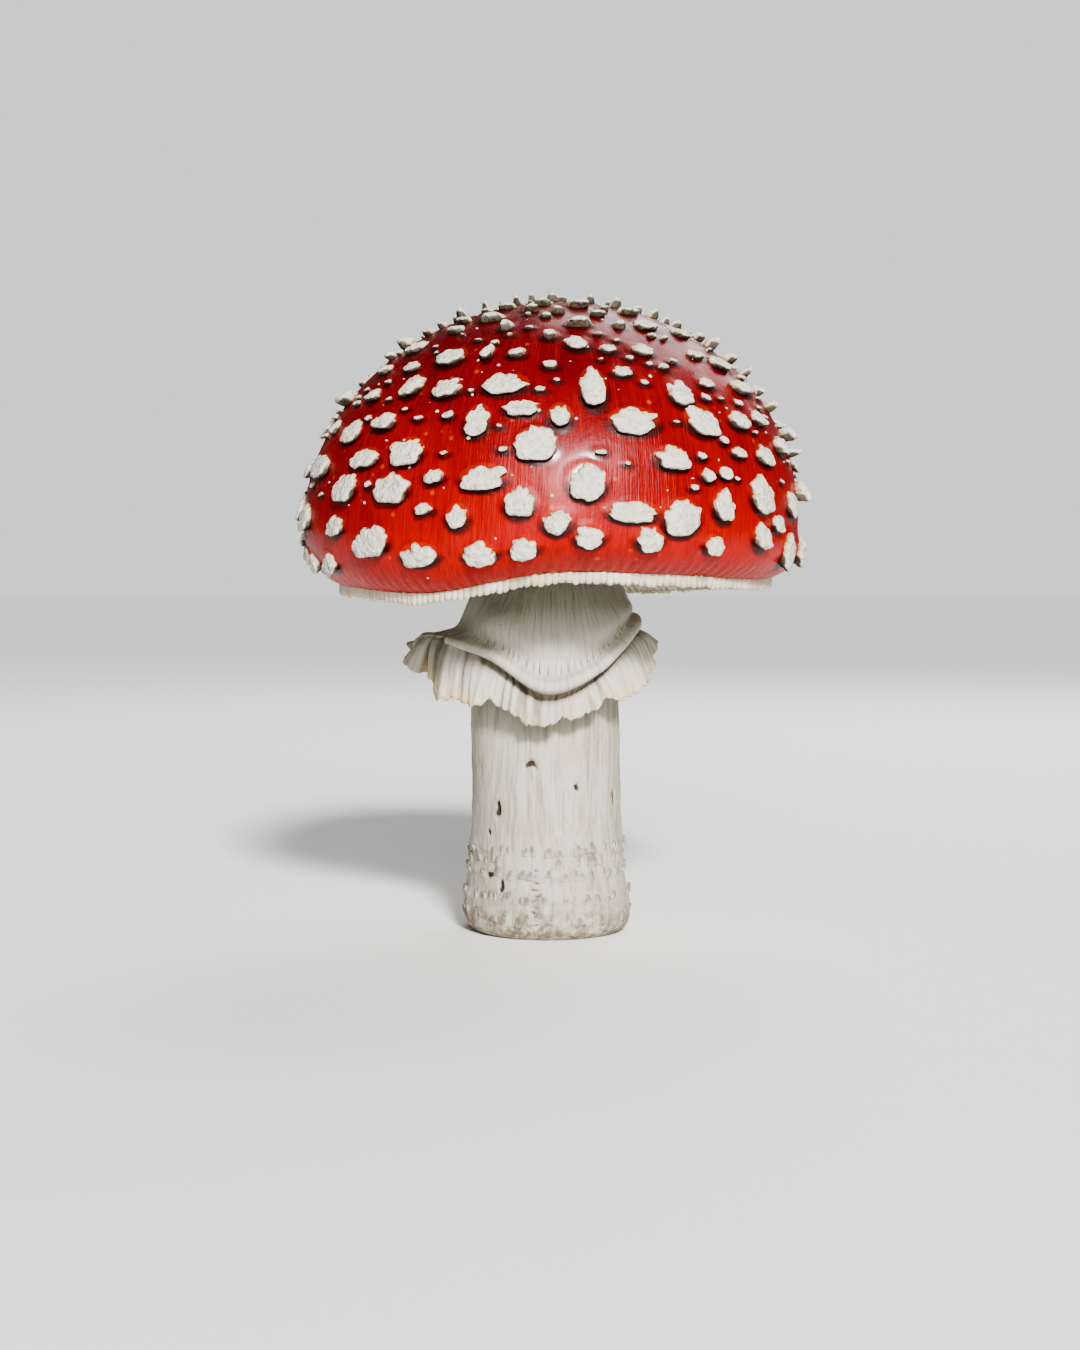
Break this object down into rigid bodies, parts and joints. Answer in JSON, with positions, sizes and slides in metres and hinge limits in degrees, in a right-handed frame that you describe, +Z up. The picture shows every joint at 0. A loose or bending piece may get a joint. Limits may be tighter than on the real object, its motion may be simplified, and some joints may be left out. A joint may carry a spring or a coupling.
{
  "type": "fly agaric",
  "caption": "Fly agaric mushroom with a domed warty cap, radiating gills, a torn flaring ring and a stout stem cut flat at the foot.",
  "frame": {"origin": "middle of the flat cut foot, which rests on the surface", "axes": "+Z up along the stem, -Y towards the viewer of the picture, +X to the right of it"},
  "size_m": [0.1012, 0.1011, 0.126],
  "materials": {
    "skin": "moist glossy red skin over white flesh",
    "gill": "matt cream gill blades",
    "veil": "matt white felted veil, in the ring and in the warts",
    "stem": "matt fibrous white, stained with soil at the foot"
  },
  "bodies": {
    "root": {"cap": "skin", "gills": "gill", "ring": "veil", "stem": "stem"}
  },
  "joints": []
}
